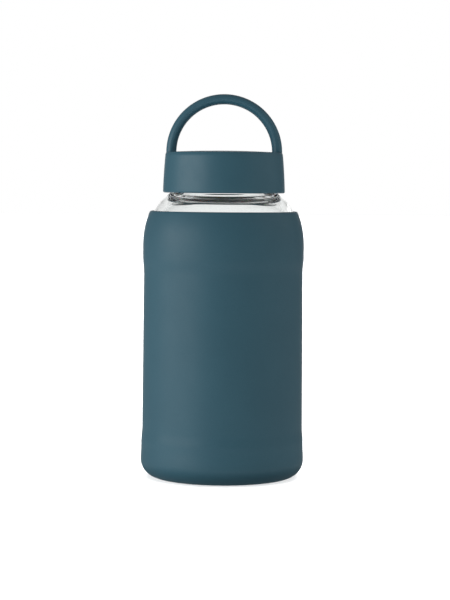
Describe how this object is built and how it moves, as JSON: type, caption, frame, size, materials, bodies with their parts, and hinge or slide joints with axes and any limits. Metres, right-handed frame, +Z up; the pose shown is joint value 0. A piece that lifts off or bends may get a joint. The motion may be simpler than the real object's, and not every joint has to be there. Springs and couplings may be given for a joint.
{
  "type": "glass water bottle",
  "caption": "Wide-mouth glass water bottle in a silicone sleeve, with a screw cap that carries a fixed arch handle.",
  "frame": {"origin": "centre of the sleeve's underside, on the plane that the bottle stands on", "axes": "+Z up along the bottle's axis, +X across the handle from leg to leg, -Y towards the viewer"},
  "size_m": [0.0808, 0.0808, 0.1896],
  "materials": {
    "sleeve_silicone": "matte",
    "clear_glass": "polished",
    "seal_silicone": "satin",
    "liner_plastic": "satin",
    "cap_plastic": "matte"
  },
  "bodies": {
    "sleeve": {"silicone_sleeve": "sleeve_silicone"},
    "bottle": {"glass_bottle": "clear_glass"},
    "seal": {"seal_ring": "seal_silicone"},
    "cap": {"cap_liner": "liner_plastic", "cap_shell": "cap_plastic", "carry_handle": "cap_plastic"}
  },
  "joints": [
    {"name": "bottle_lift", "type": "slide", "parent": "sleeve", "child": "bottle", "axis": [0, 0, 1], "range_m": [0, 0.14], "deforming": ["silicone_sleeve"]},
    {"name": "cap_rise", "type": "slide", "parent": "bottle", "child": "seal", "axis": [0, 0, 1], "range_m": [0, 0.0241]},
    {"name": "cap_turn", "type": "hinge", "parent": "seal", "child": "cap", "pos_m": [0, 0, 0.15], "axis": [0, 0, 1], "range_deg": [0, 1440]}
  ],
  "couplings": [
    {"joint": "cap_rise", "follows": "cap_turn", "m_per_rad": 0.00095493}
  ]
}
